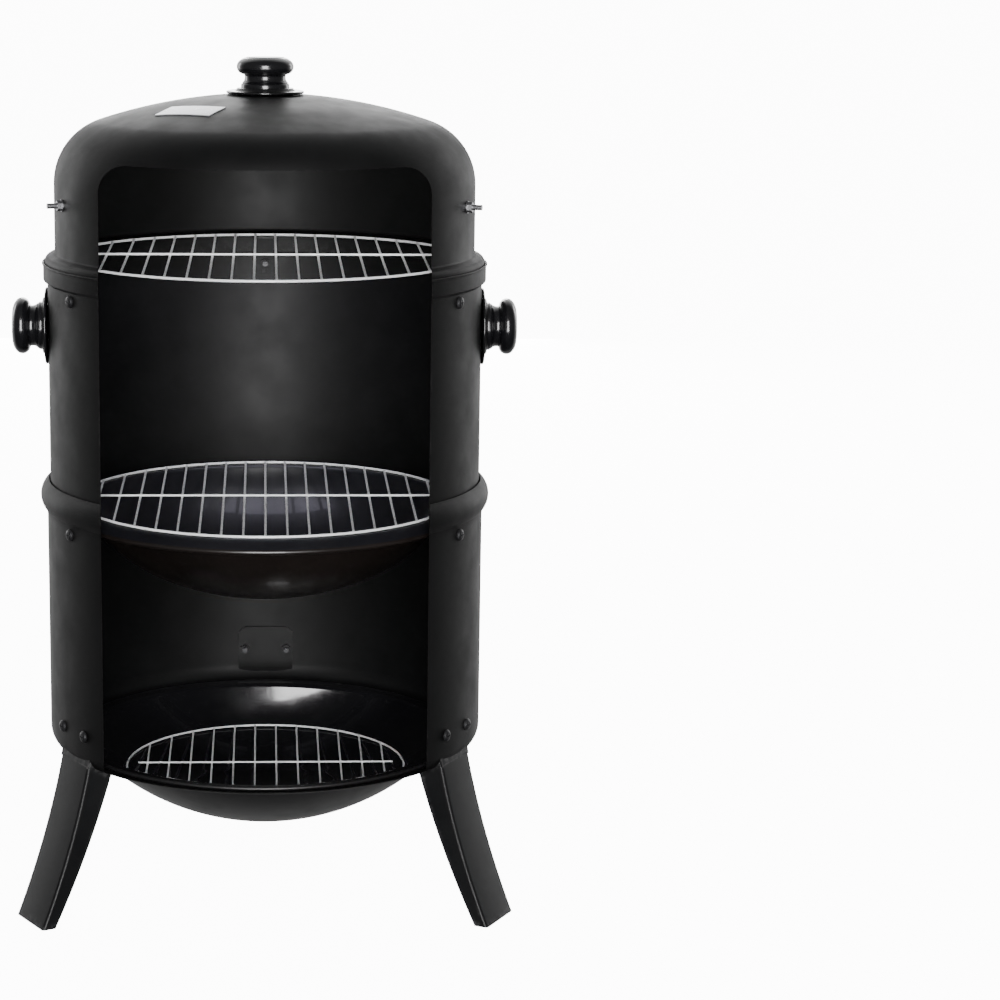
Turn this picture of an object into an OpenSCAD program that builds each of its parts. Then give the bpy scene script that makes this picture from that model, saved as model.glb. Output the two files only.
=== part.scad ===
// Vertical water smoker, cut open at the front.
// The origin is on the floor under the axis of the barrels; the front is -Y and up is +Z.

/* [Barrels] */
// outside diameter of the middle barrel
body_d = 400; // [360:5:440]
// thickness of the rolled steel sheet
sheet = 1.2; // [0.8:0.1:2]
// how much smaller the lid's radius is than the middle barrel's
lid_inset = 7; // [5:0.5:12]
// how much larger the lower barrel's radius is than the middle barrel's
lower_outset = 3; // [2.5:0.5:6]
// half width of the window cut out of the front
window_half_w = 146; // [80:1:160]

/* [Heights] */
// height of the lower barrel's underside above the floor
leg_h = 141; // [110:1:180]
// height of the middle of the lower barrel's bead
bead_z = 380; // [340:1:420]
// height of the middle barrel's top edge
joint_z = 596; // [560:1:640]
// height of the lid's crown
crown_z = 748.7; // [720:0.1:780]
// height of the window's top edge
window_top_z = 694; // [660:1:705]
// height of the side handles
handle_z = 535; // [480:1:540]

/* [Lid] */
// outside radius of the lid's dome
dome_r = 480; // [400:5:600]
// outside radius of the lid's shoulder
shoulder_r = 60; // [40:1:80]
// height of the studs and hooks on the lid
stud_z = 652; // [640:1:660]

/* [Legs] */
// distance from the axis to the outer face of a foot
foot_r = 250; // [230:1:280]
// width of a leg
leg_w = 55; // [40:1:60]
// depth of a leg's sides under the barrel
leg_depth = 26; // [15:1:27]
// depth of a leg's sides at the foot
foot_depth = 13; // [8:1:20]
// thickness of the leg's sheet
leg_t = 1.6; // [1.2:0.1:2.5]

/* [Grates and bowls] */
// thickness of the grates' wire
wire_d = 2.2; // [2:0.1:4]
// distance between the bars of the two cooking grates
bar_pitch = 19.5; // [14:0.5:26]
// distance between the bars of the charcoal grate
coal_bar_pitch = 20.5; // [14:0.5:26]
// depth of the water bowl
water_bowl_depth = 89; // [50:1:100]
// depth of the charcoal bowl
coal_bowl_depth = 80; // [60:1:90]

/* [Knobs] */
// diameter of a knob's head
knob_d = 52; // [40:1:60]
// height of a knob above its plate
knob_h = 28; // [26:1:36]
// diameter of a knob's base plate
plate_d = 71; // [54:1:72]

/* [Hidden] */
$fn = 96;
// clear gap between pieces that lift off each other
gap = 0.3;
// small overrun that keeps cuts clear of faces
over = 1;
// small gap between a wall and what is bolted flat to it
wall_gap = 0.1;
// steps in a quarter of a round profile
steps = 10;

mid_r = body_d / 2;
lid_r = mid_r - lid_inset;
low_r = mid_r + lower_outset;

// directions seen from above, with the front at -90 degrees
side_angles = [-150, -30, 90];
stud_angles = [-160, -20];
handle_angles = [180, 0];

// lower barrel
corner_r = 18;
lip_w = 7.5;
lip_r = low_r - corner_r - lip_w;
bead_r = 17.5;
bead_out = 6;
bead_x = low_r + bead_out - bead_r;
bead_low_a = -acos((low_r - bead_x) / bead_r);
bead_low_in_a = -acos((low_r - sheet - bead_x) / (bead_r - sheet));
bead_mouth_gap = 0.5;
bead_mouth_a = acos((mid_r + bead_mouth_gap - bead_x) / (bead_r - sheet));
window_low_z = leg_h + 4;

// brackets and what they carry
bracket_t = 2;
bracket_w = 24;
low_seat_z = bead_z - 14;
low_bracket_r = low_r - sheet - wall_gap;
low_bolt_z = low_seat_z - 7.5;
low_drop = 8;
step_in = 9;
up_seat_z = joint_z + 2;
up_bracket_r = mid_r - sheet - wall_gap;
up_bolt_z = joint_z - 26;
shelf_reach = 22;
bracket_h = 22;
up_bracket_h = 38;

// middle barrel
mid_low_z = low_seat_z + gap;
collar_out = 3.8;
collar_r = mid_r + collar_out;
joggle_z = joint_z - 19;
hem_out = 1;
hem_h = 2;

// lid
skirt_gap = 0.4;
skirt_r = collar_r - sheet - skirt_gap;
skirt_low_z = joggle_z + collar_out + 0.9;
skirt_top_z = joint_z + 1;
flare_r = 5;
flare_a = 70;
dome_z = crown_z - dome_r;
shoulder_x = lid_r - shoulder_r;
shoulder_z = dome_z + sqrt(pow(dome_r - shoulder_r, 2) - pow(shoulder_x, 2));
shoulder_a = atan2(shoulder_z - dome_z, shoulder_x);
window_corner_r = 26;

// screws
m5 = 5;
m6 = 6;
bore_play = 0.4;
bore_reach = 8;
head_d = 11;
head_h = 3;
nut_h = 4;
washer_h = 1;
nut_play = 0.15;
// small gaps that keep flat faces off curved ones and off each other
nut_gap = 0.1;
seat_gap = 0.05;
leg_bolt_z = leg_h + 34;
leg_bolt_half = 21;
curve_lift = 0.3;

// legs, whose flat tabs stand in from the round wall so that their edges clear it
tab_top_z = leg_h + 57;
tab_low_z = leg_h + 19;
tab_inset = 2.5;
tab_face_r = low_r - sheet - tab_inset;
leg_bow = 0.62;
side_top_z = leg_h + 13;

// bowls
bowl_t = 1.2;
water_roll_r = 2.5;
water_rim_z = low_seat_z + gap + 2 * water_roll_r;
seat_w = 5;
water_rim_r = 187;
water_body_r = 173;
water_wall_r = 178;
coal_roll_r = 2;
coal_rim_z = leg_h + sheet + gap + 2 * coal_roll_r;
coal_rim_r = 184.5;
coal_body_r = 174.5;

// grates, whose ring is thicker than their bars and whose cross wire lies on top of them
ring_thick = 1.1;
cross_lift = 0.8;
up_ring_r = 186;
up_grate_z = up_seat_z + gap + ring_thick * wire_d / 2;
low_ring_r = 176;
low_grate_z = water_rim_z + gap + ring_thick * wire_d / 2;
coal_ring_r = 132;
coal_wire_d = 1.8;
coal_grate_z = leg_h - 28;
coal_cross_share = 0.92;

// wire feet under two of the charcoal grate's bars, standing on the inside of its bowl
coal_foot_x = 4.5 * coal_bar_pitch;
coal_foot_half = 20;
coal_cap_r = cap_radius(coal_body_r, coal_bowl_depth);
coal_foot_z = coal_rim_z - coal_bowl_depth + coal_cap_r
    - rise(coal_cap_r - bowl_t - gap - coal_wire_d / 2, norm([coal_foot_x, coal_foot_half]));

// knobs
knob_r = knob_d / 2;
plate_r = plate_d / 2;
plate_h = 5;
knob_bore_h = 18;

// node to draw

// ---- outlines ----

// points of an arc about (x, y), from angle a to angle b
function arc(x, y, r, a, b, n = steps) =
    [for (i = [0:n]) [x + r * cos(a + (b - a) * i / n), y + r * sin(a + (b - a) * i / n)]];

function reversed(points) = [for (i = [len(points) - 1:-1:0]) points[i]];

// height above the centre of a circle of radius r, at a distance x from it
function rise(r, x) = sqrt(r * r - x * x);

// radius of a cap that is r wide at its edge and deep in the middle
function cap_radius(r, deep) = (r * r + deep * deep) / (2 * deep);

// a bowl's wall from its middle up to height end_z, as part of an ellipse centred at height mid_z
function bowl_wall(half_w, half_h, mid_z, end_z) =
    let (end_a = acos((mid_z - end_z) / half_h))
    [for (i = [0:2 * steps])
        let (a = end_a * i / (2 * steps))
        [half_w * sin(a), mid_z - half_h * cos(a)]];

// distance of a leg's outer face from the axis, at a height z
function leg_face(z) =
    let (t = max(0, (tab_low_z - z) / tab_low_z))
    tab_face_r + (foot_r - tab_face_r) * (leg_bow * t + (1 - leg_bow) * t * t);

// depth of a leg's sides at a height z
function leg_side(z) = foot_depth + (leg_depth - foot_depth) * z / leg_h;

// underside of the lower barrel's rounded corner above the side of a leg, at a distance x out
function under_barrel(x) =
    let (past = max(0, norm([x, leg_w / 2 - leg_t]) - low_r + corner_r))
    leg_h + corner_r - rise(corner_r, past) - gap;

// ---- shared shapes ----

module spun(points) {
    rotate_extrude()
        polygon(points);
}

// a slice of a spun outline, w wide at radius r, centred on the X axis
module spun_slice(points, w, r) {
    half = asin(w / 2 / r);
    rotate([0, 0, -half])
        rotate_extrude(angle = 2 * half)
            polygon(points);
}

module at_angles(angles) {
    for (a = angles)
        rotate([0, 0, a])
            children();
}

// turns +Z to +X and moves it out to radius r at height z
module outward(r, z, y = 0) {
    translate([r, y, z])
        rotate([0, 90, 0])
            children();
}

module inward(r, z, y = 0) {
    translate([r, y, z])
        rotate([0, -90, 0])
            children();
}

// a round-headed screw with a cross slot; its shank runs down from the origin
module screw(d, shank, head = head_d, h = head_h) {
    slot_w = 1;
    slot_depth = 1.3;
    difference() {
        spun(concat(
            [[0, -shank], [d / 2, -shank], [d / 2, 0], [head / 2, 0], [head / 2, h * 0.35]],
            [[head * 0.42, h * 0.72], [head * 0.28, h * 0.93], [0, h]]));
        for (turn = [0, 90])
            rotate([0, 0, turn])
                translate([-head * 0.28, -slot_w / 2, h - slot_depth])
                    cube([head * 0.56, slot_w, slot_depth + over]);
    }
}

module nut(d, h = nut_h) {
    difference() {
        cylinder(d = 1.95 * d, h = h, $fn = 6);
        translate([0, 0, -over])
            cylinder(d = d + 2 * nut_play, h = h + 2 * over);
    }
}

module washer(d, h = washer_h) {
    difference() {
        cylinder(d = 2.2 * d, h = h);
        translate([0, 0, -over])
            cylinder(d = d + bore_play, h = h + 2 * over);
    }
}

// a round hole through whatever lies within bore_reach of radius r
module bore(d, r, z, y = 0) {
    outward(r - bore_reach, z, y)
        cylinder(d = d + bore_play, h = 2 * bore_reach);
}

// the front window, from height low to height high, with round top corners when corner is above zero
module window(low, high, corner = 0) {
    rotate([90, 0, 0])
        linear_extrude(body_d)
            difference() {
                translate([-window_half_w, low])
                    square([2 * window_half_w, high - low]);
                if (corner > 0)
                    for (side = [-1, 1])
                        translate([side * (window_half_w - corner), high - corner])
                            outside_corner(side, corner);
            }
}

// what lies outside a round corner whose arc is centred on the origin
module outside_corner(side, corner) {
    difference() {
        translate([side > 0 ? 0 : -corner - over, 0])
            square(corner + over);
        circle(corner);
    }
}

// ---- lower barrel ----

module lower_barrel() {
    color("#2b2b2c")
        difference() {
            spun(concat(
                [[lip_r, leg_h]],
                arc(low_r - corner_r, leg_h + corner_r, corner_r, -90, 0),
                arc(bead_x, bead_z, bead_r, bead_low_a, bead_mouth_a, 2 * steps),
                arc(bead_x, bead_z, bead_r - sheet, bead_mouth_a, bead_low_in_a, 2 * steps),
                arc(low_r - corner_r, leg_h + corner_r, corner_r - sheet, 0, -90),
                [[lip_r, leg_h + sheet]]));
            window(window_low_z, bead_z + bead_r + over);
            at_angles(side_angles) {
                bore(m5, low_r, low_bolt_z);
                for (side = [-1, 1])
                    bore(m5, low_r, leg_bolt_z, side * leg_bolt_half);
                leg_slot();
            }
        }
}

// the slot in the lower barrel's rounded corner that a leg's tab passes through
module leg_slot() {
    play = 0.3;
    for (shift = [-play, 0, play])
        translate([shift, 0, 0])
            leg_sheet(leg_w + 2 * play, leg_h - over, leg_h + corner_r + over);
}

// ---- legs ----

// a leg that points along +X: a channel below the barrel, and a tab inside it
module leg() {
    color("#303033")
        difference() {
            union() {
                leg_sheet(leg_w, 0, tab_top_z);
                for (side = [-1, 1])
                    leg_flange(side);
            }
            for (side = [-1, 1])
                bore(m5, tab_face_r, leg_bolt_z, side * leg_bolt_half);
        }
}

// the leg's outer sheet, w wide, between two heights
module leg_sheet(w, low_z, top_z) {
    bend_z = min(top_z, tab_low_z);
    heights = [for (i = [0:steps]) low_z + (bend_z - low_z) * i / steps];
    face = [for (z = heights) [leg_face(z), z]];
    back = [for (z = heights) [leg_face(z) - leg_t, z]];
    tab = [[leg_face(top_z), top_z], [leg_face(top_z) - leg_t, top_z]];
    translate([0, w / 2, 0])
        rotate([90, 0, 0])
            linear_extrude(w)
                polygon(concat(face, top_z > bend_z ? tab : [], reversed(back)));
}

// one side of the channel, whose top follows the barrel's rounded corner
module leg_flange(side) {
    top_x = leg_face(side_top_z);
    edge_x = leg_face(leg_h) - leg_depth;
    face = [for (i = [0:steps - 1]) [leg_face(side_top_z * i / steps), side_top_z * i / steps]];
    top = [for (i = [0:steps]) top_x + (edge_x - top_x) * i / steps];
    edge = [for (i = [steps - 1:-1:0]) leg_h * i / steps];
    translate([0, side > 0 ? leg_w / 2 : leg_t - leg_w / 2, 0])
        rotate([90, 0, 0])
            linear_extrude(leg_t)
                polygon(concat(
                    face,
                    [for (x = top) [x, under_barrel(x)]],
                    [for (z = edge) [leg_face(z) - leg_side(z), z]]));
}

module leg_left() {
    rotate([0, 0, side_angles[0]])
        leg();
}

module leg_right() {
    rotate([0, 0, side_angles[1]])
        leg();
}

module leg_rear() {
    rotate([0, 0, side_angles[2]])
        leg();
}

module leg_bolts() {
    head_r = rise(low_r, leg_bolt_half - head_d / 2) + seat_gap;
    color("#1d1d1f")
        at_angles(side_angles)
            for (side = [-1, 1])
                outward(head_r, leg_bolt_z, side * leg_bolt_half)
                    screw(m5, shank = 12);
}

module leg_nuts() {
    color("#8d8f92")
        at_angles(side_angles)
            for (side = [-1, 1])
                inward(tab_face_r - leg_t - seat_gap, leg_bolt_z, side * leg_bolt_half)
                    nut(m5);
}

// ---- brackets ----

// a bent bracket hung on a wall at radius r, with its seat at height z; its shelf's tip can be lower
module bracket(r, z, h, bolt_z, drop = 0) {
    t = bracket_t;
    step_r = r - step_in;
    tip_r = r - shelf_reach;
    difference() {
        spun_slice(concat(
            [[r, z - h], [r, z]],
            drop > 0 ? [[step_r, z], [step_r, z - drop]] : [],
            [[tip_r, z - drop], [tip_r, z - drop - t]],
            drop > 0 ? [[step_r + t, z - drop - t], [step_r + t, z - t]] : [],
            [[r - t, z - t], [r - t, z - h]]), bracket_w, r);
        bore(m5, r, bolt_z);
    }
}

module lower_bracket(angle) {
    color("#3a3a3c")
        rotate([0, 0, angle])
            bracket(low_bracket_r, low_seat_z, bracket_h, low_bolt_z, low_drop);
}

module upper_bracket(angle) {
    color("#3a3a3c")
        rotate([0, 0, angle])
            bracket(up_bracket_r, up_seat_z, up_bracket_h, up_bolt_z);
}

module lower_bracket_left() {
    lower_bracket(side_angles[0]);
}

module lower_bracket_right() {
    lower_bracket(side_angles[1]);
}

module lower_bracket_rear() {
    lower_bracket(side_angles[2]);
}

module lower_bracket_bolts() {
    color("#5c5d60")
        at_angles(side_angles)
            outward(low_r + seat_gap, low_bolt_z)
                screw(m5, shank = 7.8);
}

module lower_bracket_nuts() {
    color("#8d8f92")
        at_angles(side_angles)
            inward(low_bracket_r - bracket_t - nut_gap, low_bolt_z)
                nut(m5);
}

module upper_bracket_left() {
    upper_bracket(side_angles[0]);
}

module upper_bracket_right() {
    upper_bracket(side_angles[1]);
}

module upper_bracket_rear() {
    upper_bracket(side_angles[2]);
}

module upper_bracket_bolts() {
    color("#5c5d60")
        at_angles(side_angles)
            outward(mid_r + seat_gap, up_bolt_z)
                screw(m5, shank = 11);
}

module upper_bracket_nuts() {
    color("#8d8f92")
        at_angles(side_angles)
            inward(up_bracket_r - bracket_t - nut_gap, up_bolt_z)
                nut(m5);
}

// ---- middle barrel ----

module middle_barrel() {
    lean = sheet * (sqrt(2) - 1);
    color("#2b2b2c")
        difference() {
            spun([
                [mid_r, mid_low_z],
                [mid_r, joggle_z],
                [collar_r, joggle_z + collar_out],
                [collar_r, joint_z - hem_h],
                [collar_r + hem_out, joint_z - hem_h],
                [collar_r + hem_out, joint_z],
                [collar_r - sheet, joint_z],
                [collar_r - sheet, joggle_z + collar_out + lean],
                [mid_r - sheet, joggle_z + lean],
                [mid_r - sheet, mid_low_z]]);
            window(mid_low_z - over, joint_z + over);
            at_angles(side_angles)
                bore(m5, mid_r, up_bolt_z);
            at_angles(handle_angles)
                bore(m6, mid_r, handle_z);
        }
}

// ---- knobs, shared by the lid and the side handles ----

// a knob that stands on its plate's top, at the origin
module knob() {
    base_r = 0.85 * knob_r;
    base_edge_r = 2;
    neck_r = 0.72 * knob_r;
    neck_low_z = 0.32 * knob_h;
    neck_top_z = 0.5 * knob_h - 4;
    head_edge_r = 7;
    head_edge_z = 0.5 * knob_h - 2 + head_edge_r;
    top_r = 0.66 * knob_r;
    groove = 0.8;
    difference() {
        spun(concat(
            [[0, 0], [base_r, 0]],
            arc(base_r - base_edge_r, base_edge_r + 0.2, base_edge_r, 0, 80, 4),
            [[neck_r, neck_low_z], [neck_r, neck_top_z]],
            arc(knob_r - head_edge_r, head_edge_z, head_edge_r, -80, 55),
            [[top_r, knob_h - groove], [top_r - groove, knob_h - 2 * groove]],
            [[top_r - 2 * groove, knob_h - groove / 2], [0, knob_h]]));
        translate([0, 0, -over])
            cylinder(d = m6 + bore_play, h = knob_bore_h + over);
    }
}

// the flared metal disc under a knob, with its back at the origin
module knob_plate() {
    disc_h = 2.4;
    edge = 0.4;
    ease = 0.6;
    difference() {
        spun([
            [0, 0],
            [plate_r, 0],
            [plate_r + edge, edge],
            [plate_r - edge, disc_h],
            [0.82 * plate_r, disc_h + ease],
            [0.72 * plate_r, plate_h - ease],
            [0.68 * plate_r, plate_h],
            [0, plate_h]]);
        translate([0, 0, -over])
            cylinder(d = m6 + bore_play, h = plate_h + 2 * over);
    }
}

module handle_plate(angle) {
    color("#161617")
        rotate([0, 0, angle])
            outward(mid_r + seat_gap, handle_z)
                knob_plate();
}

module handle_knob(angle) {
    color("#0c0c0d")
        rotate([0, 0, angle])
            outward(mid_r + seat_gap + plate_h, handle_z)
                knob();
}

module handle_plate_left() {
    handle_plate(handle_angles[0]);
}

module handle_plate_right() {
    handle_plate(handle_angles[1]);
}

module handle_knob_left() {
    handle_knob(handle_angles[0]);
}

module handle_knob_right() {
    handle_knob(handle_angles[1]);
}

module handle_screws() {
    color("#8d8f92")
        at_angles(handle_angles)
            inward(mid_r - sheet - curve_lift, handle_z)
                screw(m6, shank = 20, head = 11, h = 4);
}

// ---- lid ----

// outline of the lid's sheet, whose outside is moved in by t
function lid_line(t) =
    let (round_r = flare_r - t, run = lid_r - t - skirt_r + flare_r)
    concat(
        [[skirt_r - t, skirt_low_z]],
        arc(skirt_r - flare_r, skirt_top_z, round_r, 0, flare_a, 6),
        [[lid_r - t, skirt_top_z + (round_r - run * cos(flare_a)) / sin(flare_a)]],
        arc(shoulder_x, shoulder_z, shoulder_r - t, 0, shoulder_a),
        arc(0, dome_z, dome_r - t, shoulder_a, 90, 12));

module lid() {
    color("#2b2b2c")
        difference() {
            spun(concat(lid_line(0), reversed(lid_line(sheet))));
            window(skirt_low_z - over, window_top_z, window_corner_r);
            translate([0, 0, crown_z - 2 * plate_h])
                cylinder(d = m6 + bore_play, h = 4 * plate_h);
            at_angles(stud_angles)
                bore(m5, lid_r, stud_z);
        }
}

module lid_plate() {
    color("#161617")
        translate([0, 0, crown_z + seat_gap])
            knob_plate();
}

module lid_knob() {
    color("#0c0c0d")
        translate([0, 0, crown_z + seat_gap + plate_h])
            knob();
}

module lid_screw() {
    color("#8d8f92")
        translate([0, 0, crown_z - sheet - wall_gap])
            rotate([180, 0, 0])
                screw(m6, shank = 20, head = 13, h = 4);
}

// a blank plate bent to follow the dome
module name_plate() {
    across = 57;
    tall = 27;
    thickness = 0.8;
    direction = -130;
    distance = 103;
    twist = 8;
    color("#c9ccd0")
        difference() {
            intersection() {
                translate([0, 0, dome_z])
                    sphere(dome_r + wall_gap + thickness);
                rotate([0, 0, direction])
                    translate([distance, 0, crown_z])
                        rotate([0, 0, twist])
                            cube([tall, across, shoulder_r], center = true);
            }
            translate([0, 0, dome_z])
                sphere(dome_r + wall_gap);
        }
}

// a strap held by a stud, bent into a hook at its lower end
module lid_hook(angle) {
    strap_t = 1.6;
    strap_w = 14;
    r = lid_r - sheet - wall_gap;
    top_z = stud_z + 9;
    low_z = stud_z - 18;
    tip_r = r - 15;
    tip_z = low_z + 9;
    color("#77797d")
        rotate([0, 0, angle])
            difference() {
                spun_slice([
                    [r, top_z],
                    [r, low_z],
                    [tip_r, low_z],
                    [tip_r, tip_z],
                    [tip_r + strap_t, tip_z],
                    [tip_r + strap_t, low_z + strap_t],
                    [r - strap_t, low_z + strap_t],
                    [r - strap_t, top_z]], strap_w, r);
                bore(m5, r, stud_z);
            }
}

module lid_hook_left() {
    lid_hook(stud_angles[0]);
}

module lid_hook_right() {
    lid_hook(stud_angles[1]);
}

module lid_stud_bolts() {
    color("#a9abae")
        at_angles(stud_angles)
            inward(lid_r - sheet - 2, stud_z)
                screw(m5, shank = 17);
}

module lid_stud_washers() {
    color("#b9bbbe")
        at_angles(stud_angles)
            outward(lid_r + seat_gap, stud_z)
                washer(m5);
}

module lid_stud_nuts() {
    color("#b1b3b6")
        at_angles(stud_angles)
            outward(lid_r + washer_h + 2 * seat_gap, stud_z)
                nut(m5);
}

// ---- grates ----

module wire_ring(r, d) {
    rotate_extrude()
        translate([r, 0])
            circle(d = d);
}

// a straight wire along Y at x, that ends in the ring
module bar(x, r, d) {
    half = rise(r, x);
    translate([x, half, 0])
        rotate([90, 0, 0])
            cylinder(d = d, h = 2 * half);
}

// a round grate of bars from front to back, tied by one wire laid across a share of its width
module grate(r, d, pitch, count, cross_share = 1) {
    union() {
        wire_ring(r, ring_thick * d);
        for (i = [0:count - 1])
            bar((i - (count - 1) / 2) * pitch, r, d);
        translate([0, 0, cross_lift * d])
            rotate([0, 0, 90])
                bar(0, cross_share * r, d);
    }
}

module upper_grate() {
    color("#e4e6e8")
        translate([0, 0, up_grate_z])
            grate(up_ring_r, wire_d, bar_pitch, 18);
}

module lower_grate() {
    color("#e4e6e8")
        translate([0, 0, low_grate_z])
            grate(low_ring_r, wire_d, bar_pitch, 17);
}

module charcoal_grate() {
    color("#d2d4d6")
        translate([0, 0, coal_grate_z])
            grate(coal_ring_r, coal_wire_d, coal_bar_pitch, 12, coal_cross_share);
}

// two bent wire feet that stand the charcoal grate in its bowl
module charcoal_grate_feet() {
    post_h = coal_grate_z - coal_wire_d / 2 - wall_gap - coal_foot_z;
    color("#29292b")
        for (side = [-1, 1])
            translate([side * coal_foot_x, 0, coal_foot_z])
                union() {
                    for (end = [-1, 1])
                        translate([0, end * coal_foot_half, 0]) {
                            cylinder(d = coal_wire_d, h = post_h);
                            sphere(d = coal_wire_d);
                        }
                    translate([0, coal_foot_half, 0])
                        rotate([90, 0, 0])
                            cylinder(d = coal_wire_d, h = 2 * coal_foot_half);
                }
}

// ---- bowls ----

// a round bowl whose flange has its top at the origin; its rolled edge can hang lower
module bowl(body_r, rim_r, roll_r, depth, half_w, drop = 0) {
    half_h = depth / (1 - rise(1, body_r / half_w));
    mid_z = half_h - depth;
    seat_r = body_r + seat_w;
    edge_r = rim_r - roll_r;
    union() {
        spun(concat(
            bowl_wall(half_w, half_h, mid_z, -bowl_t),
            [[seat_r, -bowl_t], [edge_r, -drop - bowl_t], [edge_r, -drop], [seat_r, 0]],
            reversed(bowl_wall(half_w - bowl_t, half_h - bowl_t, mid_z, 0))));
        translate([0, 0, -drop - roll_r])
            wire_ring(edge_r, 2 * roll_r);
    }
}

module water_bowl() {
    color("#1b1918")
        translate([0, 0, water_rim_z])
            bowl(water_body_r, water_rim_r, water_roll_r, water_bowl_depth, water_wall_r, low_drop);
}

module charcoal_bowl() {
    color("#18181a")
        translate([0, 0, coal_rim_z])
            bowl(coal_body_r, coal_rim_r, coal_roll_r, coal_bowl_depth, coal_cap_r);
}

// ---- what is drawn ----

lower_barrel();
leg_left();
leg_right();
leg_rear();
leg_bolts();
leg_nuts();
lower_bracket_left();
lower_bracket_right();
lower_bracket_rear();
lower_bracket_bolts();
lower_bracket_nuts();
middle_barrel();
upper_bracket_left();
upper_bracket_right();
upper_bracket_rear();
upper_bracket_bolts();
upper_bracket_nuts();
handle_plate_left();
handle_plate_right();
handle_knob_left();
handle_knob_right();
handle_screws();
lid();
lid_plate();
lid_knob();
lid_screw();
name_plate();
lid_hook_left();
lid_hook_right();
lid_stud_bolts();
lid_stud_washers();
lid_stud_nuts();
upper_grate();
lower_grate();
water_bowl();
charcoal_bowl();
charcoal_grate();
charcoal_grate_feet();
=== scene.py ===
"""Looks of the vertical water smoker: detailed pieces, materials, light and camera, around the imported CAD."""

import math

import bmesh
import bpy
from mathutils import Matrix, Vector


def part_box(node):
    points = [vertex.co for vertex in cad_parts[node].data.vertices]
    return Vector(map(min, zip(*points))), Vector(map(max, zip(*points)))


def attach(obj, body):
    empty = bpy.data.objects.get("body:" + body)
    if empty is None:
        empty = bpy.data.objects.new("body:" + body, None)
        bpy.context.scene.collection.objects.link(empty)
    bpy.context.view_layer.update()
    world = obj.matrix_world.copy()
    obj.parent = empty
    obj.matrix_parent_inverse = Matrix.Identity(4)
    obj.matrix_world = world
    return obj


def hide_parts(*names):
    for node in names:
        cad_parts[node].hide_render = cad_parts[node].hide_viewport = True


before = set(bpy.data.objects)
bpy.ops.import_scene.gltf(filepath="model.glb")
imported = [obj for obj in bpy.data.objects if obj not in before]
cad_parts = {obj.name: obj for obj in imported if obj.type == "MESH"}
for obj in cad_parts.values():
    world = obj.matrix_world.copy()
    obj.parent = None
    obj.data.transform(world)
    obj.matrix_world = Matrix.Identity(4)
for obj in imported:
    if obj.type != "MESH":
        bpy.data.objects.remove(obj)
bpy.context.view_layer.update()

MM = 0.001

# sizes in millimetres, as in the part's source
SHEET = 1.2
LEG_H = 141.0
LID_R = 193.0
MID_R = 200.0
LOW_R = 203.0
CORNER_R = 18.0
LIP_R = 177.5
BEAD_R = 17.5
BEAD_X = 191.5
BEAD_Z = 380.0
JOINT_Z = 596.0
JOGGLE_Z = 577.0
COLLAR_R = 203.8
SKIRT_R = 202.2
SKIRT_LOW_Z = 581.7
SKIRT_TOP_Z = 597.0
CROWN_Z = 748.7
DOME_R = 480.0
SHOULDER_R = 60.0
WINDOW_HALF = 146.0
WINDOW_TOP = 694.0
WINDOW_LOW_Z = 144.85
WINDOW_CORNER = 26.0
HANDLE_Z = 535.0
PLATE_H = 5.0
KNOB_H = 28.0
KNOB_R = 26.0
LEG_W = 55.0
LEG_T = 1.6
TAB_FACE = 199.3
TAB_LOW_Z = 160.0
TAB_TOP_Z = 198.0
FOOT_R = 250.0
LEG_BOW = 0.62
SIDE_TOP_Z = 154.0
LEG_DEPTH = 26.0
FOOT_DEPTH = 13.0
WELD_INSET = 1.4
RIDGE_H = 0.8
RIDGE_HALF = 2.0
PLATE_GAP = 0.05
AXIS_R = 0.01  # outlines that reach the axis stop this far from it

# the legs' directions, and shares of a grate wire's thickness
LEG_ANGLES = {"leg_left": -150, "leg_right": -30, "leg_rear": 90}
RING_THICK = 1.1
CROSS_LIFT = 0.8
RING_POINTS = 160

# the studio: brightness in the world's parts, the backdrop's glow and size, and the camera
WORLD_FRONT = 0.12
WORLD_BACK = 1.6
WORLD_BELOW = 0.3
GLOW = 12.0
TENT_R = 60.0
TENT_SHEET = 1000.0
LENS = 101.7
SHIFT = 0.12
YAW = -2.37
PITCH = 11.51
ROLL = 0.44


# ---- mesh helpers ----


def arc(x, y, r, start, end, n=12):
    """Points of an arc about (x, y), from angle start to angle end in degrees."""
    angles = [math.radians(start + (end - start) * i / n) for i in range(n + 1)]
    return [(x + r * math.cos(a), y + r * math.sin(a)) for a in angles]


def make_object(name, verts, faces, sharp=35):
    """A smooth-shaded mesh object, with verts in millimetres and edges above the sharp angle kept crisp."""
    mesh = bpy.data.meshes.new(name)
    mesh.from_pydata([tuple(c * MM for c in v) for v in verts], [], faces)
    finish_mesh(mesh, sharp)
    obj = bpy.data.objects.new(name, mesh)
    bpy.context.scene.collection.objects.link(obj)
    return obj


def finish_mesh(mesh, sharp):
    """Merges doubles, turns faces outwards and sets the shading."""
    bm = bmesh.new()
    bm.from_mesh(mesh)
    bmesh.ops.remove_doubles(bm, verts=bm.verts, dist=1e-7)
    bmesh.ops.recalc_face_normals(bm, faces=bm.faces)
    bm.to_mesh(mesh)
    bm.free()
    mesh.polygons.foreach_set("use_smooth", [True] * len(mesh.polygons))
    mesh.set_sharp_from_angle(angle=math.radians(sharp))


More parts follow.
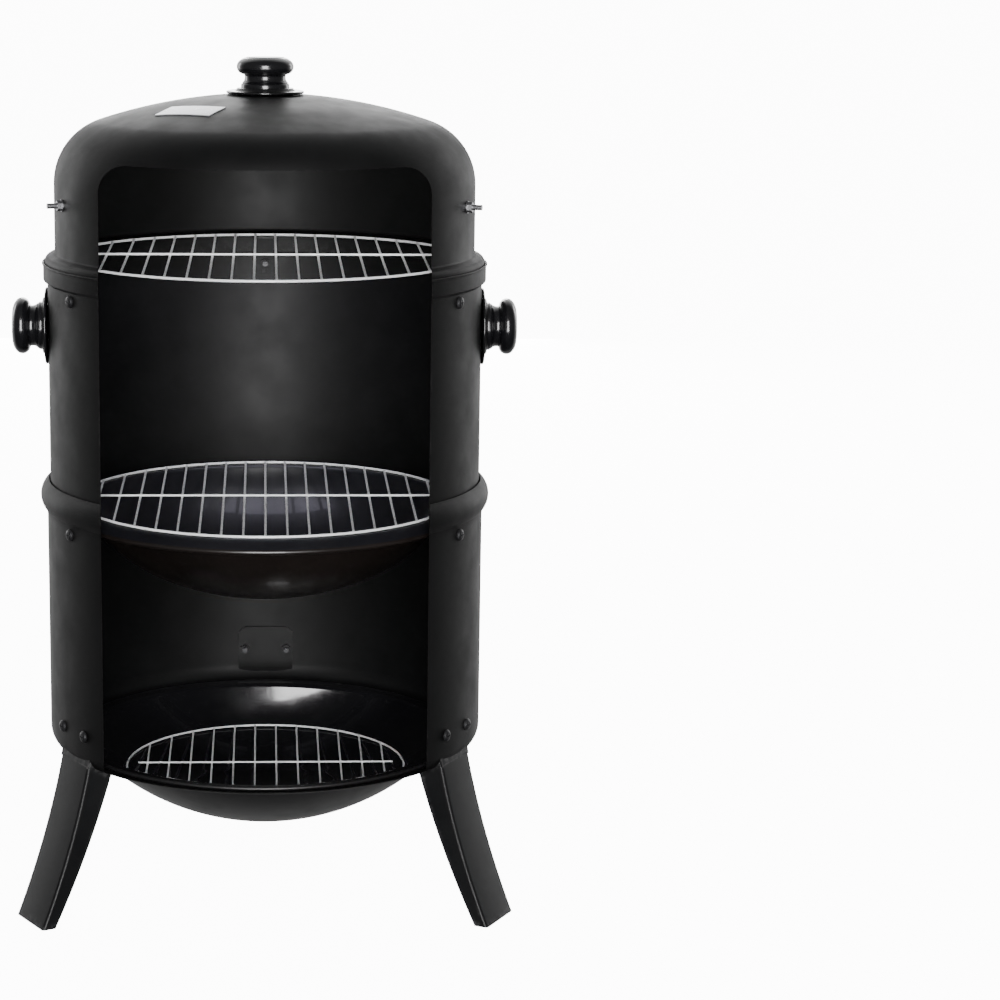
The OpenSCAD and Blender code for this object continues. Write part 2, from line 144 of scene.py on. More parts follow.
def lathe(name, outline, segments=192, sharp=35, gap=0.0):
    """Turns a closed outline of (radius, height) points about the Z axis, but for a gap at the front."""
    verts = []
    faces = []
    count = len(outline)
    rows = segments + 1 if gap else segments
    for i in range(rows):
        for r, z in outline:
            edge = math.asin(gap / r) if gap else 0.0
            a = edge - math.pi / 2 + 2 * (math.pi - edge) * i / segments
            verts.append((r * math.cos(a), r * math.sin(a), z))
    for i in range(segments):
        for j in range(count):
            a = i * count + j
            b = i * count + (j + 1) % count
            c = ((i + 1) % rows) * count + (j + 1) % count
            d = ((i + 1) % rows) * count + j
            faces.append((a, b, c, d))
    if gap:
        faces.append(tuple(range(count))[::-1])
        faces.append(tuple(range(segments * count, rows * count)))
    return make_object(name, verts, faces, sharp)


def shell_outline(outer, sheet=SHEET):
    """A sheet's closed outline: its outer line, and the same line moved in by the sheet's thickness."""
    inner = []
    for i, (x, y) in enumerate(outer):
        x0, y0 = outer[max(0, i - 1)]
        x1, y1 = outer[min(len(outer) - 1, i + 1)]
        length = math.hypot(x1 - x0, y1 - y0)
        inner.append((x - sheet * (y1 - y0) / length, y + sheet * (x1 - x0) / length))
    return outer + inner[::-1]


def cut_window(obj, low, high, corner):
    """Cuts the front window out of a shell, with round top corners."""
    outline = [(-WINDOW_HALF, low), (WINDOW_HALF, low)]
    outline += arc(WINDOW_HALF - corner, high - corner, corner, 0, 90)
    outline += arc(corner - WINDOW_HALF, high - corner, corner, 90, 180)
    count = len(outline)
    verts = [(x, -300.0, z) for x, z in outline] + [(x, 0.0, z) for x, z in outline]
    faces = [tuple(range(count))[::-1], tuple(range(count, 2 * count))]
    faces += [(i, (i + 1) % count, count + (i + 1) % count, count + i) for i in range(count)]
    cutter = make_object(obj.name + "_cutter", verts, faces)
    modifier = obj.modifiers.new("window", "BOOLEAN")
    modifier.operation = "DIFFERENCE"
    modifier.solver = "EXACT"
    modifier.object = cutter
    depsgraph = bpy.context.evaluated_depsgraph_get()
    mesh = bpy.data.meshes.new_from_object(obj.evaluated_get(depsgraph))
    obj.modifiers.clear()
    obj.data = mesh
    bpy.data.objects.remove(cutter)
    finish_mesh(mesh, 35)


def tube(points, radius, sides=12, closed=False):
    """Verts and faces of a round wire along points, in millimetres."""
    verts = []
    faces = []
    count = len(points)
    for i, point in enumerate(points):
        before = points[(i - 1) % count] if closed or i > 0 else point
        after = points[(i + 1) % count] if closed or i < count - 1 else point
        along = (Vector(after) - Vector(before)).normalized()
        side = along.cross(Vector((0, 0, 1)))
        if side.length < 1e-6:
            side = along.cross(Vector((1, 0, 0)))
        side.normalize()
        up = side.cross(along)
        for j in range(sides):
            a = 2 * math.pi * j / sides
            verts.append(tuple(Vector(point) + radius * (math.cos(a) * side + math.sin(a) * up)))
    rings = count if closed else count - 1
    for i in range(rings):
        for j in range(sides):
            a = i * sides + j
            b = i * sides + (j + 1) % sides
            c = ((i + 1) % count) * sides + (j + 1) % sides
            d = ((i + 1) % count) * sides + j
            faces.append((a, b, c, d))
    if not closed:
        faces.append(tuple(range(sides))[::-1])
        faces.append(tuple(range((count - 1) * sides, count * sides)))
    return verts, faces


def blob(centre, radii, rows=6, sides=10):
    """Verts and faces of a small rounded lump of weld."""
    verts = []
    faces = []
    for i in range(rows + 1):
        v = math.pi * i / rows
        for j in range(sides):
            u = 2 * math.pi * j / sides
            direction = (math.sin(v) * math.cos(u), math.sin(v) * math.sin(u), math.cos(v))
            verts.append(tuple(c + r * d for c, r, d in zip(centre, radii, direction)))
    for i in range(rows):
        for j in range(sides):
            k = (j + 1) % sides
            faces.append((i * sides + j, i * sides + k, (i + 1) * sides + k, (i + 1) * sides + j))
    return verts, faces


def joined(name, parts, sharp=50):
    """One object from several (verts, faces) pairs."""
    verts = []
    faces = []
    for part_verts, part_faces in parts:
        start = len(verts)
        verts += part_verts
        faces += [tuple(start + i for i in face) for face in part_faces]
    return make_object(name, verts, faces, sharp)


def turned(obj, matrix):
    """Moves an object's own points by a matrix, with its offsets in metres."""
    obj.data.transform(matrix)
    return obj


# ---- materials ----


def new_material(name):
    material = bpy.data.materials.new(name)
    material.use_nodes = True
    nodes = material.node_tree.nodes
    return material, nodes, material.node_tree.links, nodes["Principled BSDF"]


def noise(nodes, links, coordinates, scale, detail=4.0, roughness=0.55):
    node = nodes.new("ShaderNodeTexNoise")
    node.inputs["Scale"].default_value = scale
    node.inputs["Detail"].default_value = detail
    node.inputs["Roughness"].default_value = roughness
    links.new(coordinates, node.inputs["Vector"])
    return node.outputs["Fac"]


def ramp(nodes, links, factor, low, high, from_low=0.3, from_high=0.7):
    """Maps a factor to a range between two numbers."""
    node = nodes.new("ShaderNodeMapRange")
    node.inputs["From Min"].default_value = from_low
    node.inputs["From Max"].default_value = from_high
    node.inputs["To Min"].default_value = low
    node.inputs["To Max"].default_value = high
    links.new(factor, node.inputs["Value"])
    return node.outputs["Result"]


def mix_colour(nodes, links, factor, first, second):
    node = nodes.new("ShaderNodeMix")
    node.data_type = "RGBA"
    links.new(factor, node.inputs["Factor"])
    for socket, value in (("A", first), ("B", second)):
        target = [s for s in node.inputs if s.name == socket and s.type == "RGBA"][0]
        if isinstance(value, tuple):
            target.default_value = (*value, 1)
        else:
            links.new(value, target)
    return [s for s in node.outputs if s.type == "RGBA"][0]


def object_coordinates(nodes, links, stretch=(1, 1, 1)):
    """Coordinates in metres, fixed to the object."""
    coordinates = nodes.new("ShaderNodeTexCoord")
    mapping = nodes.new("ShaderNodeMapping")
    mapping.inputs["Scale"].default_value = stretch
    links.new(coordinates.outputs["Object"], mapping.inputs["Vector"])
    return mapping.outputs["Vector"]


def edge_wear(nodes, links, start=0.53, end=0.62):
    geometry = nodes.new("ShaderNodeNewGeometry")
    return ramp(nodes, links, geometry.outputs["Pointiness"], 0.0, 1.0, start, end)


def add_bump(nodes, links, height, shader, strength, distance):
    node = nodes.new("ShaderNodeBump")
    node.inputs["Strength"].default_value = strength
    node.inputs["Distance"].default_value = distance
    links.new(height, node.inputs["Height"])
    links.new(node.outputs["Normal"], shader.inputs["Normal"])


def painted(name, dark, light, rough, gloss=0.22, worn=(0.06, 0.06, 0.06)):
    """Paint or powder coat: mottled colour, grained surface, and slightly rubbed edges."""
    material, nodes, links, shader = new_material(name)
    where = object_coordinates(nodes, links)
    patches = noise(nodes, links, where, 14.0)
    colour = mix_colour(nodes, links, ramp(nodes, links, patches, 0, 1), dark, light)
    scuffs = noise(nodes, links, where, 160.0, 6.0, 0.7)
    rubbed = nodes.new("ShaderNodeMath")
    rubbed.operation = "MULTIPLY"
    links.new(edge_wear(nodes, links), rubbed.inputs[0])
    links.new(ramp(nodes, links, scuffs, 0.0, 0.55, 0.45, 0.75), rubbed.inputs[1])
    links.new(mix_colour(nodes, links, rubbed.outputs[0], colour, worn), shader.inputs["Base Color"])
    smears = noise(nodes, links, where, 32.0, 5.0)
    links.new(ramp(nodes, links, smears, rough - 0.05, rough + 0.06), shader.inputs["Roughness"])
    add_bump(nodes, links, noise(nodes, links, where, 1500.0, 2.0), shader, 0.25, 0.0002)
    shader.inputs["Specular IOR Level"].default_value = gloss
    return material


def metal(name, dark, light, rough, metallic, brush=(1, 1, 1), grain=700.0):
    """Bare or plated metal: cloudy tone, fine drawn lines and small pits."""
    material, nodes, links, shader = new_material(name)
    where = object_coordinates(nodes, links, brush)
    cloud = noise(nodes, links, where, 60.0, 5.0)
    colour = mix_colour(nodes, links, ramp(nodes, links, cloud, 0, 1), dark, light)
    links.new(colour, shader.inputs["Base Color"])
    lines = noise(nodes, links, where, grain, 3.0)
    links.new(ramp(nodes, links, lines, rough - 0.07, rough + 0.08), shader.inputs["Roughness"])
    add_bump(nodes, links, lines, shader, 0.15, 0.0001)
    shader.inputs["Metallic"].default_value = metallic
    return material


def enamel(name, dark, light, rough, coat=0.5):
    """Vitreous enamel: deep colour, slight ripple, tiny specks and a few dull wiped patches."""
    material, nodes, links, shader = new_material(name)
    where = object_coordinates(nodes, links)
    patches = noise(nodes, links, where, 9.0, 3.0)
    colour = mix_colour(nodes, links, ramp(nodes, links, patches, 0, 1), dark, light)
    specks = noise(nodes, links, where, 900.0, 1.0)
    speck_mask = ramp(nodes, links, specks, 0.0, 0.6, 0.74, 0.8)
    links.new(mix_colour(nodes, links, speck_mask, colour, (0.1, 0.1, 0.1)), shader.inputs["Base Color"])
    wipes = noise(nodes, links, where, 21.0, 6.0, 0.65)
    links.new(ramp(nodes, links, wipes, rough, rough + 0.1, 0.45, 0.8), shader.inputs["Roughness"])
    add_bump(nodes, links, noise(nodes, links, where, 55.0, 2.0), shader, 0.12, 0.0006)
    shader.inputs["Coat Weight"].default_value = coat
    shader.inputs["Coat Roughness"].default_value = 0.04
    return material


def moulded(name, dark, light, rough):
    """Glossy moulded phenolic: near black with faint swirls, handling scratches and a light orange peel."""
    material, nodes, links, shader = new_material(name)
    where = object_coordinates(nodes, links)
    swirl = noise(nodes, links, where, 45.0, 7.0, 0.7)
    colour = mix_colour(nodes, links, ramp(nodes, links, swirl, 0, 1), dark, light)
    links.new(colour, shader.inputs["Base Color"])
    scratches = noise(nodes, links, object_coordinates(nodes, links, (1, 9, 2)), 260.0, 8.0, 0.8)
    links.new(ramp(nodes, links, scratches, rough, rough + 0.16, 0.5, 0.85), shader.inputs["Roughness"])
    add_bump(nodes, links, noise(nodes, links, where, 420.0, 2.0), shader, 0.06, 0.0002)
    shader.inputs["Coat Weight"].default_value = 0.6
    shader.inputs["Coat Roughness"].default_value = 0.06
    return material


shell_paint = painted("shell_paint", (0.0025, 0.0025, 0.0026), (0.0042, 0.0042, 0.0044), 0.5)
leg_paint = painted("leg_paint", (0.005, 0.005, 0.0055), (0.0085, 0.0085, 0.009), 0.36, worn=(0.2, 0.2, 0.2))
bracket_paint = painted("bracket_paint", (0.004, 0.004, 0.0045), (0.008, 0.008, 0.0085), 0.55)
dark_screw = metal("dark_screw", (0.02, 0.02, 0.022), (0.04, 0.04, 0.042), 0.38, 0.6)
zinc = metal("zinc", (0.2, 0.2, 0.21), (0.34, 0.34, 0.35), 0.34, 0.9)
# near white and barely metallic: painted reflection, a white colour standing in for the chrome's bright shine
chrome_wire_painted_reflection = metal("chrome_wire_painted_reflection", (0.86, 0.87, 0.88), (0.95, 0.95, 0.96), 0.3, 0.1)
dark_wire = metal("dark_wire", (0.03, 0.03, 0.03), (0.06, 0.06, 0.06), 0.4, 0.6)
name_silver = metal("name_silver", (0.55, 0.56, 0.58), (0.68, 0.69, 0.7), 0.34, 0.7, (1, 30, 1), 90.0)
knob_plastic = moulded("knob_plastic", (0.004, 0.004, 0.005), (0.008, 0.008, 0.009), 0.2)
plate_enamel = enamel("plate_enamel", (0.005, 0.005, 0.005), (0.009, 0.009, 0.01), 0.16)
water_inside = enamel("water_inside", (0.005, 0.005, 0.007), (0.01, 0.01, 0.013), 0.3, 0.25)
water_outside = enamel("water_outside", (0.007, 0.0055, 0.005), (0.012, 0.009, 0.008), 0.3, 0.2)
coal_inside = enamel("coal_inside", (0.004, 0.004, 0.005), (0.008, 0.008, 0.009), 0.08)
coal_outside = enamel("coal_outside", (0.005, 0.005, 0.0055), (0.009, 0.009, 0.0095), 0.4, 0.05)


def dress(obj, material):
    obj.data.materials.clear()
    obj.data.materials.append(material)


def place(obj, body, slot, material, *nodes):
    """Gives a piece its material, lets it ride on its body, and hides the CAD nodes it stands for."""
    if material:
        dress(obj, material)
    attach(obj, body)
    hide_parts(*nodes)


# ---- shells ----


def make_lower_barrel():
    low_a = -math.degrees(math.acos((LOW_R - BEAD_X) / BEAD_R))
    mouth_a = 55.0
    outer = [(LIP_R, LEG_H)]
    outer += arc(LOW_R - CORNER_R, LEG_H + CORNER_R, CORNER_R, -90, 0, 14)
    outer += [(LOW_R, z) for z in (200.0, 250.0, 300.0, 340.0, 362.0)]
    outer += arc(BEAD_X, BEAD_Z, BEAD_R, low_a + 4, mouth_a, 22)
    obj = lathe("lower_shell", shell_outline(outer), 256)
    cut_window(obj, WINDOW_LOW_Z, BEAD_Z + 2 * BEAD_R, BEAD_R / 2)
    place(obj, "base", "shell_black", shell_paint, "lower_barrel")


def make_middle_barrel():
    outer = [(MID_R, 366.3), (MID_R, 367.3), (MID_R, 420.0), (MID_R, 480.0), (MID_R, 540.0)]
    outer += arc(MID_R + 1.3, JOGGLE_Z, 1.3, 180, 135, 3)
    outer += arc(COLLAR_R - 1.5, JOGGLE_Z + 3.8, 1.5, -45, 0, 3)
    outer += [(COLLAR_R, JOINT_Z - 4.0)]
    hem = arc(COLLAR_R - 0.1, JOINT_Z - 1.1, 1.1, -80, 170, 12)
    outline = outer + hem + shell_outline(outer)[len(outer):]
    obj = lathe("middle_shell", outline, 256, gap=WINDOW_HALF)
    place(obj, "middle", "shell_black", shell_paint, "middle_barrel")


def make_lid():
    dome_z = CROWN_Z - DOME_R
    shoulder_x = LID_R - SHOULDER_R
    shoulder_z = dome_z + math.sqrt((DOME_R - SHOULDER_R) ** 2 - shoulder_x**2)
    shoulder_a = math.degrees(math.atan2(shoulder_z - dome_z, shoulder_x))
    flare = 5.0
    flare_a = 70
    bend = 2.5
    lean = math.radians(90 - flare_a)
    turn_z = SKIRT_TOP_Z + flare / math.cos(lean) + (SKIRT_R - flare - LID_R) * math.tan(lean)
    outer = [(SKIRT_R, SKIRT_LOW_Z)]
    outer += arc(SKIRT_R - flare, SKIRT_TOP_Z, flare, 0, flare_a, 8)
    bend_z = turn_z + bend * (1 / math.cos(lean) - math.tan(lean))
    outer += arc(LID_R + bend, bend_z, bend, 180 + flare_a, 180, 6)
    outer += [(LID_R, z) for z in (625.0, 650.0)]
    outer += arc(shoulder_x, shoulder_z, SHOULDER_R, 0, shoulder_a, 26)
    outer += arc(0, dome_z, DOME_R, shoulder_a + 1, 89.6, 26)
    obj = lathe("lid_shell", shell_outline(outer), 256)
    cut_window(obj, SKIRT_LOW_Z - 1, WINDOW_TOP, WINDOW_CORNER)
    place(obj, "lid", "shell_black", shell_paint, "lid")


# ---- knobs ----


def knob_outline():
    neck = 0.72 * KNOB_R
    foot = 0.85 * KNOB_R
    head = 7.0
    outline = [(AXIS_R, 0.0), (foot, 0.0)]
    outline += arc(foot - 2, 2.2, 2, 0, 75, 6)
    outline += arc(neck + 5.5, 9.2, 5.5, 235, 180, 8)
    outline += arc(neck + 2.2, 10.2, 2.2, 180, 115, 6)
    outline += arc(KNOB_R - head, 19.0, head, -78, 55, 18)
    outline += [(21.1, 26.1), (19.0, 27.0), (17.6, 27.35)]
    outline += arc(16.8, 27.3, 0.6, 20, -160, 6)
    outline += [(15.6, 27.7), (11.0, 27.9), (6.0, KNOB_H), (AXIS_R, KNOB_H)]
    return outline


def plate_outline():
    rim = 35.5
    bead = 1.2
    outline = [(AXIS_R, 0.0), (rim - bead, 0.0)]
    outline += arc(rim - bead, bead, bead, -90, 110, 10)
    outline += [(32.6, 1.7), (29.9, 2.2)]
    outline += arc(28.8, 4.2, 2.0, -80, -150, 5)
    outline += arc(24.6, 3.4, 1.6, 10, 90, 5)
    outline += [(AXIS_R, PLATE_H)]
    return outline


def make_knobs():
    """The lid's knob and the two side handles, each on its own flared plate."""
    side = MID_R + PLATE_GAP
    spots = {
        "lid": Matrix.Translation((0, 0, (CROWN_Z + PLATE_GAP) * MM)),
        "left": Matrix.Translation((-side * MM, 0, HANDLE_Z * MM)) @ Matrix.Rotation(-math.pi / 2, 4, "Y"),
        "right": Matrix.Translation((side * MM, 0, HANDLE_Z * MM)) @ Matrix.Rotation(math.pi / 2, 4, "Y"),
    }
    for spot, matrix in spots.items():
        body = "lid" if spot == "lid" else "middle"
        stem = "lid" if spot == "lid" else "handle"
        tail = "" if spot == "lid" else "_" + spot
        plate = turned(lathe(f"{stem}_disc{tail}", plate_outline(), 96, 50), matrix)
        place(plate, body, "plate_black", plate_enamel, f"{stem}_plate{tail}")
        lift = Matrix.Translation((0, 0, PLATE_H * MM))
        knob = turned(lathe(f"{stem}_grip{tail}", knob_outline(), 128, 50), matrix @ lift)
        place(knob, body, "knob_black", knob_plastic, f"{stem}_knob{tail}")


# ---- legs ----


def leg_face(z):
    t = max(0.0, (TAB_LOW_Z - z) / TAB_LOW_Z)
    return TAB_FACE + (FOOT_R - TAB_FACE) * (LEG_BOW * t + (1 - LEG_BOW) * t * t)


def leg_side(z):
    return FOOT_DEPTH + (LEG_DEPTH - FOOT_DEPTH) * min(1.0, z / LEG_H)


def leg_x(z, share, inset):
    """Distance out of a point on the channel, by its share of the side's depth and its inset at a bend."""
    return leg_face(z) - share * leg_side(z) - inset * (1 - share)


def under_barrel(x, y):
    past = max(0.0, math.hypot(x, y) - LOW_R + CORNER_R)
    return LEG_H + CORNER_R - math.sqrt(max(0.0, CORNER_R**2 - past**2))


def leg_top(share, inset, across):
    """Height at which a line up the channel meets the underside of the barrel."""
    z = LEG_H
    for _ in range(12):
        z = (z + min(under_barrel(leg_x(z, share, inset), across), SIDE_TOP_Z)) / 2
    return z


def channel_outline():
    """The channel's section, outside then inside, as (share of the side's depth, inset, offset across)."""
    half = LEG_W / 2
    bend = 3.0
    shares = [1.0, 0.8, 0.6, 0.4, 0.2]
    outside = [(s, 0.0, -half) for s in shares]
    outside += [(0, bend - x, y - half + bend) for x, y in arc(0, 0, bend, -90, 0, 6)]
    inside = [(s, 0.0, LEG_T - half) for s in shares]
    inner_bend = bend - LEG_T
    inside += [(0, bend - x, y - half + bend) for x, y in arc(0, 0, inner_bend, -90, 0, 6)]
    outside += [(s, d, -y) for s, d, y in outside[::-1]]
    inside += [(s, d, -y) for s, d, y in inside[::-1]]
    return outside + inside[::-1]


def make_leg(name, angle):
    rows = 24
    outline = channel_outline()
    tops = [leg_top(*point) for point in outline]
    verts = []
    for row in range(rows + 1):
        for (share, inset, across), top_z in zip(outline, tops):
            z = top_z * row / rows
            verts.append((leg_x(z, share, inset), across, z))
    count = len(outline)
    faces = []
    for row in range(rows):
        for j in range(count):
            k = (j + 1) % count
            faces.append((row * count + j, row * count + k, (row + 1) * count + k, (row + 1) * count + j))
    half = count // 2
    for row in (0, rows):
        for j in range(half - 1):
            other = count - 1 - j
            start = row * count
            faces.append((start + j, start + j + 1, start + other - 1, start + other))
    obj = joined(f"{name}_channel", [(verts, faces), leg_tab()], 40)
    turned(obj, Matrix.Rotation(math.radians(angle), 4, "Z"))
    place(obj, "base", "leg_black", leg_paint, name)
    # the tab inside the barrel takes the darker shell paint: painted shade that hides the lighter reflection of
    # its flat face
    obj.data.materials.append(shell_paint)
    for face in obj.data.polygons:
        face.material_index = 1 if face.center.z > SIDE_TOP_Z * MM else 0


def leg_tab():
    """The flat tab that runs up inside the barrel, with clipped top corners."""
    half = LEG_W / 2
    clip = 6.0
    edge = 0.8
    heights = [146.0, 150.0, 154.0, 158.0, 162.0, 172.0, 182.0]
    heights += [TAB_TOP_Z - clip, TAB_TOP_Z - edge, TAB_TOP_Z]
    shares = [-1.0, edge / half - 1.0, -0.6, -0.2, 0.2, 0.6, 1.0 - edge / half, 1.0]
    verts = []
    for z in heights:
        reach = half - max(0.0, z - TAB_TOP_Z + clip)
        verts += [(leg_face(z), share * reach, z) for share in shares]
        verts += [(leg_face(z) - LEG_T, share * reach, z) for share in shares[::-1]]
    count = 2 * len(shares)
    faces = []
    for i in range(len(heights) - 1):
        for j in range(count):
            k = (j + 1) % count
            faces.append((i * count + j, i * count + k, (i + 1) * count + k, (i + 1) * count + j))
    for start in (0, count * (len(heights) - 1)):
        for j in range(len(shares) - 1):
            other = count - 1 - j
            faces.append((start + j, start + j + 1, start + other - 1, start + other))
    return verts, faces


# ---- grates ----


def grate_parts(ring_r, wire_d, pitch, count, z, cross_share=1.0):
    """A ring, its bars from front to back, one wire across them, and a small weld at each joint."""
    radius = wire_d / 2
    ring_wire = radius * RING_THICK
    turns = [2 * math.pi * i / RING_POINTS for i in range(RING_POINTS)]
    ring = [(ring_r * math.cos(a), ring_r * math.sin(a), z) for a in turns]
    parts = [tube(ring, ring_wire, 14, True)]
    cross_z = z + CROSS_LIFT * wire_d
    for i in range(count):
        x = (i - (count - 1) / 2) * pitch
        half = math.sqrt(ring_r**2 - x**2)
        parts.append(tube([(x, -half, z), (x, 0, z), (x, half, z)], radius))
        for end in (-1, 1):
            parts.append(blob((x, end * (half - WELD_INSET), z), (radius * 1.25, radius * 1.6, radius * 1.12)))
        parts.append(blob((x, 0, z + radius * 0.8), (radius * 1.3, radius * 1.3, radius * 0.9)))
    reach = ring_r * cross_share
    parts.append(tube([(-reach, 0, cross_z), (0, 0, cross_z), (reach, 0, cross_z)], radius))
    return parts


def make_grates():
    sizes = {
        "upper_grate": (186.0, 2.2, 19.5, 18, 1.0),
        "lower_grate": (176.0, 2.2, 19.5, 17, 1.0),
        "charcoal_grate": (132.0, 1.8, 20.5, 12, 0.92),
    }
    for node, (ring_r, wire_d, pitch, count, cross_share) in sizes.items():
        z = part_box(node)[0].z / MM + RING_THICK * wire_d / 2
        parts = grate_parts(ring_r, wire_d, pitch, count, z, cross_share)
        # the wires take the near-white painted reflection in place of a mirror-like chrome
        place(joined(f"{node}_wires", parts), node, "grate_chrome", chrome_wire_painted_reflection, node)


# ---- bowls ----


def bowl_outline(body_r, rim_r, roll_r, depth, wall_r, drop=0.0, lip=0.0, ring_r=0.0):
    """Outside, rolled edge and inside of a bowl with an elliptical wall; its rim's top is at height zero.

    The rolled edge hangs lower by drop, or stands higher than the flange by lip.
    ring_r is the radius of a ridge in its floor.
    """
    half_h = depth / (1 - math.sqrt(1 - (body_r / wall_r) ** 2))
    mid = half_h - depth

    def wall(inset, end_z, n):
        end = math.acos((mid - end_z) / (half_h - inset))
        angles = [end * i / n for i in range(n + 1)]
        wide = wall_r - inset
        tall = half_h - inset
        return [(max(AXIS_R, wide * math.sin(a)), mid - tall * math.cos(a)) for a in angles]

    edge_r = rim_r - roll_r
    seat_r = body_r + 5.0
    outside = wall(0.0, -SHEET - lip - 0.8, 40)
    outside += [(body_r + 1.2, -SHEET - lip), (seat_r, -SHEET - lip - 0.1 * drop)]
    outside += arc(edge_r, -drop - roll_r, roll_r, 165, 425 + 60 * min(1.0, lip), 22)
    inside = [(seat_r + 0.5, -lip - 0.1 * drop), (body_r + 2.0, -lip), (body_r, -lip - 0.2)]
    cup = wall(SHEET, -lip - 1.0, 60)[::-1]
    if ring_r:
        cup = [(x, y + RIDGE_H * math.exp(-(((x - ring_r) / RIDGE_HALF) ** 2))) for x, y in cup]
    return outside + inside + cup


def make_bowl(node, slot, sizes, inside, outside):
    """A bowl whose inside and flange have one finish and whose outside has another."""
    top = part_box(node)[1].z / MM
    obj = lathe(f"{node}_pressing", [(r, z + top) for r, z in bowl_outline(**sizes)], 224, 60)
    place(obj, node, slot, outside, node)
    obj.data.materials.append(inside)
    edge_r = (sizes["rim_r"] - sizes["roll_r"]) * MM
    for face in obj.data.polygons:
        outwards = Vector((face.center.x, face.center.y, 0)).normalized()
        past_edge = face.center.xy.length > edge_r
        face.material_index = 0 if past_edge or face.normal.z < -0.02 else 1
        if face.normal.dot(outwards) > 0.9:
            face.material_index = 0


def make_bowls():
    water = {"body_r": 173.0, "rim_r": 187.0, "roll_r": 2.5, "depth": 89.0, "wall_r": 178.0, "drop": 8.0}
    make_bowl("water_bowl", "water_enamel", water, water_inside, water_outside)
    coal = {"body_r": 174.5, "rim_r": 184.5, "roll_r": 2.0, "depth": 80.0, "wall_r": 230.3}
    make_bowl("charcoal_bowl", "coal_enamel", coal | {"lip": 0.9, "ring_r": 84.0}, coal_inside, coal_outside)


# ---- carried-over CAD nodes ----

CARRIED = {
    bracket_paint: [
        "lower_bracket_left", "lower_bracket_right", "lower_bracket_rear",
        "upper_bracket_left", "upper_bracket_right", "upper_bracket_rear",
        "leg_nuts", "lower_bracket_nuts", "upper_bracket_nuts",
    ],
    dark_screw: ["leg_bolts", "lower_bracket_bolts", "upper_bracket_bolts"],
    zinc: [
        "handle_screws", "lid_screw", "lid_hook_left", "lid_hook_right",
        "lid_stud_bolts", "lid_stud_washers", "lid_stud_nuts",
    ],
    dark_wire: ["charcoal_grate_feet"],
    name_silver: ["name_plate"],
}


# ---- floor, light and camera ----


def glowing_white(name):
    """A white that glows, faintly clouded, for what stands behind the object."""
    material, nodes, links, shader = new_material(name)
    cloud = noise(nodes, links, object_coordinates(nodes, links), 1.5)
    colour = mix_colour(nodes, links, cloud, (0.82, 0.82, 0.82), (0.86, 0.86, 0.86))
    links.new(colour, shader.inputs["Base Color"])
    shader.inputs["Roughness"].default_value = 0.9
    shader.inputs["Specular IOR Level"].default_value = 0.1
    shader.inputs["Emission Color"].default_value = (1, 1, 1, 1)
    shader.inputs["Emission Strength"].default_value = GLOW
    return material


def make_surroundings():
    """A light table under the object and a white tent round it, whose glow only the camera sees."""
    half = TENT_R / MM
    verts = [(-half, -half, 0), (half, -half, 0), (half, half, 0), (-half, half, 0)]
    table = make_object("light_table", verts, [(0, 1, 2, 3)])
    outline = arc(AXIS_R, -1.0, half, 90, -1, 24)
    outline += arc(AXIS_R, -1.0, half + TENT_SHEET, -1, 90, 24)
    tent = lathe("white_tent", outline, 96)
    tent.visible_shadow = False
    for obj in (table, tent):
        dress(obj, glowing_white(obj.name + "_white"))
        obj.visible_diffuse = False
        obj.visible_glossy = False


def area_light(name, location, target, size, power, colour=(1, 1, 1)):
    light = bpy.data.lights.new(name, "AREA")
    light.shape = "RECTANGLE"
    light.size, light.size_y = size
    light.energy = power
    light.color = colour
    obj = bpy.data.objects.new(name, light)
    obj.visible_camera = False
    obj.location = location
    obj.rotation_euler = (Vector(target) - Vector(location)).to_track_quat("-Z", "Y").to_euler()
    bpy.context.scene.collection.objects.link(obj)


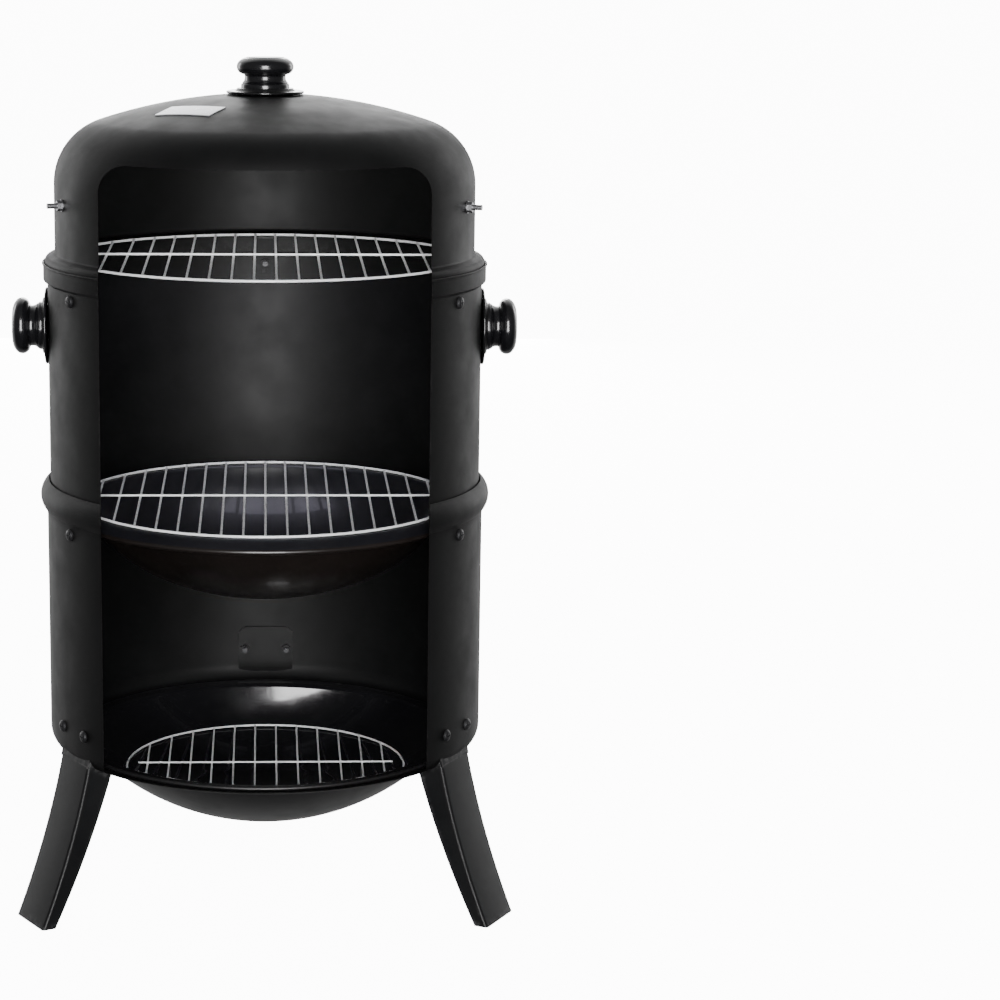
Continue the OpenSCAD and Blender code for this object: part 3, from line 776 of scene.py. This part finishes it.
def make_world():
    """White behind the object, fading to dark grey overhead, in front and below."""
    world = bpy.data.worlds.new("studio")
    bpy.context.scene.world = world
    world.use_nodes = True
    nodes = world.node_tree.nodes
    links = world.node_tree.links
    coordinates = nodes.new("ShaderNodeTexCoord")
    split = nodes.new("ShaderNodeSeparateXYZ")
    links.new(coordinates.outputs["Generated"], split.inputs["Vector"])
    shade = nodes.new("ShaderNodeMath")
    shade.operation = "MULTIPLY"
    links.new(ramp(nodes, links, split.outputs["Y"], WORLD_FRONT, WORLD_BACK, 0.2, 0.85), shade.inputs[0])
    links.new(ramp(nodes, links, split.outputs["Z"], WORLD_BELOW, 1.0, -0.5, -0.05), shade.inputs[1])
    background = nodes["Background"]
    background.inputs["Color"].default_value = (1, 1, 1, 1)
    links.new(shade.outputs[0], background.inputs["Strength"])


def make_lights():
    """A tall softbox in front with a low one under it, weaker ones behind, and three small panels inside."""
    make_world()
    area_light("front_softbox", (0, -3.4, 1.1), (0, 0, 0.45), (1.3, 2.4), 185)
    area_light("low_softbox", (0, -1.9, 0.16), (0, 0, 0.22), (1.2, 0.25), 10)
    area_light("lid_panel", (0, 0.05, 0.685), (0, 0.05, 0), (0.24, 0.16), 0.12)
    area_light("water_panel", (-0.012, 0.1, 0.57), (-0.012, 0.1, 0), (0.09, 0.07), 0.06, (0.8, 0.76, 1.0))
    area_light("coal_panel", (-0.012, 0.11, 0.3), (-0.012, 0.11, 0), (0.02, 0.02), 0.025)
    for name, x in (("left_softbox", -2.6), ("right_softbox", 2.6)):
        area_light(name, (x, 2.3, 1.0), (0, 0, 0.45), (0.8, 2.0), 14)
    area_light("rear_softbox", (0, 3.4, 1.1), (0, 0, 0.45), (1.3, 2.4), 60)


def make_camera():
    """Looks slightly down, with the object left of the middle as in the photograph."""
    data = bpy.data.cameras.new("camera")
    data.lens = LENS
    data.sensor_width = 36
    data.shift_x = SHIFT
    camera = bpy.data.objects.new("camera", data)
    camera.location = (0, -2.6, 0.9)
    aim = Matrix.Rotation(math.radians(YAW), 3, "Z") @ Matrix.Rotation(math.radians(90 - PITCH), 3, "X")
    camera.rotation_euler = (aim @ Matrix.Rotation(math.radians(ROLL), 3, "Z")).to_euler()
    bpy.context.scene.collection.objects.link(camera)
    bpy.context.scene.camera = camera


make_lower_barrel()
make_middle_barrel()
make_lid()
make_knobs()
for leg_name, leg_angle in LEG_ANGLES.items():
    make_leg(leg_name, leg_angle)
make_grates()
make_bowls()
for material, names in CARRIED.items():
    for node_name in names:
        dress(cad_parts[node_name], material)
make_surroundings()
make_lights()
make_camera()
